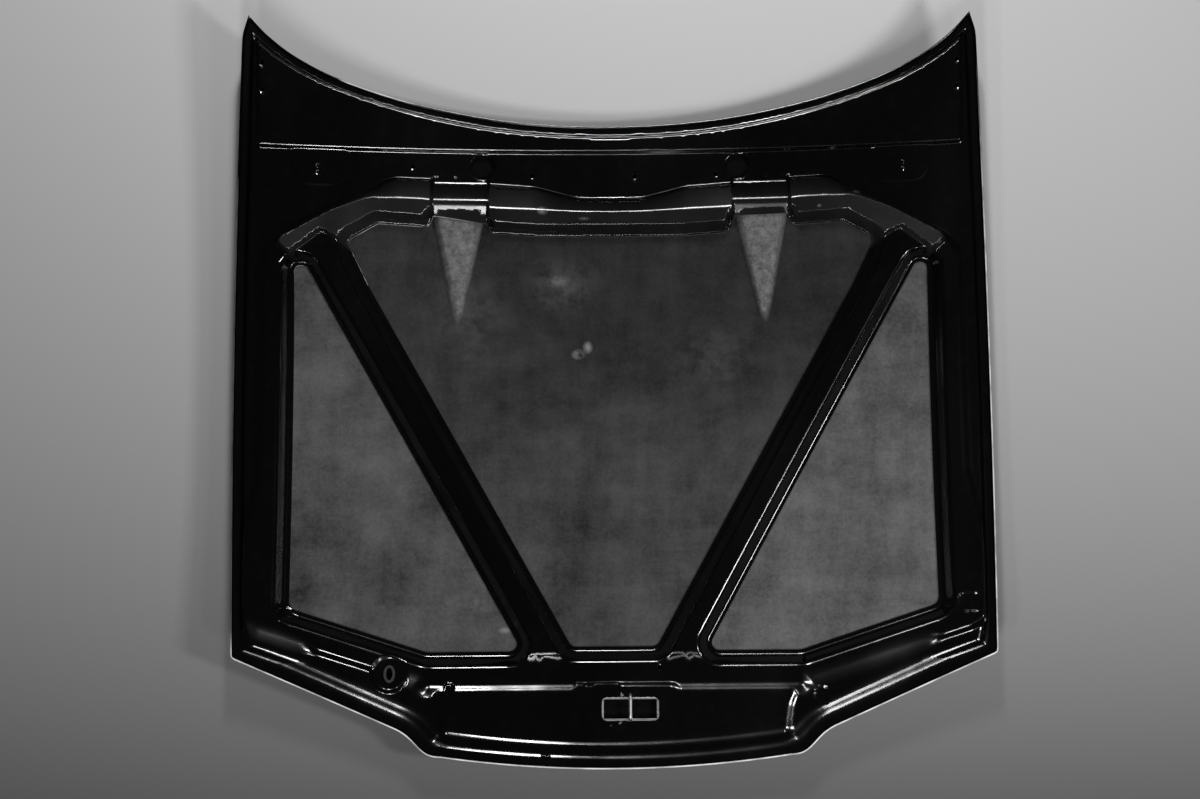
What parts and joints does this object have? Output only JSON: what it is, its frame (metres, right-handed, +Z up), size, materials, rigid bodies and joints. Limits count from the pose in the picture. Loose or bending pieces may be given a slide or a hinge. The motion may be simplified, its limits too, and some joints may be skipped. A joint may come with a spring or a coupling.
{
  "type": "car bonnet",
  "caption": "Car bonnet seen from below: a gloss black inner frame bonded to a grey moulded outer skin.",
  "frame": {"origin": "middle of the part's footprint, on the surface that the outer skin rests on", "axes": "+X across the car to the right edge of the picture, +Y from the nose to the windscreen edge, +Z up out of the underside as it lies on its outer skin"},
  "size_m": [1.424, 1.416, 0.1361],
  "materials": {
    "black_gelcoat": "smooth black moulding finish, high gloss with faint waviness",
    "bare_laminate": "unpainted grey laminate, dull, with a faint weave and stains",
    "steel": "plain steel, lightly worn",
    "rubber": "black rubber, dull"
  },
  "bodies": {
    "root": {"outer_skin": "bare_laminate", "inner_frame": "black_gelcoat", "latch_striker": "steel", "latch_plate": "steel", "hinge_plate_left": "steel", "hinge_plate_right": "steel", "prop_rod_grommet": "rubber"}
  },
  "joints": []
}
